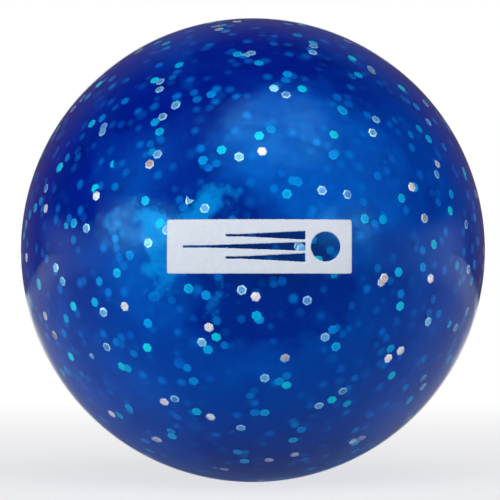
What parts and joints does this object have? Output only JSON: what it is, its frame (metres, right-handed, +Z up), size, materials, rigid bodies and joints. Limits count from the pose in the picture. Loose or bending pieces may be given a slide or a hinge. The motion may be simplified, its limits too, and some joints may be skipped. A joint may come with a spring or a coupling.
{
  "type": "bouncy ball",
  "caption": "Solid bouncy ball: an opaque rubber core under a blue see-through layer and a clear one, both full of foil flakes, with a white printed panel.",
  "frame": {"origin": "centre of the ball", "axes": "+Z up; the printed panel faces -Y and reads upright, with +X to its right"},
  "size_m": [0.073, 0.073, 0.073],
  "materials": {
    "core_rubber": "smooth opaque blue bounce rubber",
    "tinted_blue": "see-through royal blue, smooth, slightly hazy",
    "clear_gloss": "clear and very glossy",
    "white_ink": "pad-printed white ink, satin",
    "silver_foil": "bright metallised film",
    "cyan_foil": "metallised film, seen blue through the layer"
  },
  "bodies": {
    "root": {"core": "core_rubber", "tinted_layer": "tinted_blue", "clear_layer": "clear_gloss", "print_panel": "white_ink", "clear_flakes_1": "silver_foil", "clear_flakes_2": "silver_foil", "tinted_flakes_1": "cyan_foil", "tinted_flakes_2": "cyan_foil", "tinted_flakes_3": "cyan_foil", "tinted_flakes_4": "cyan_foil", "tinted_flakes_5": "cyan_foil"}
  },
  "joints": []
}
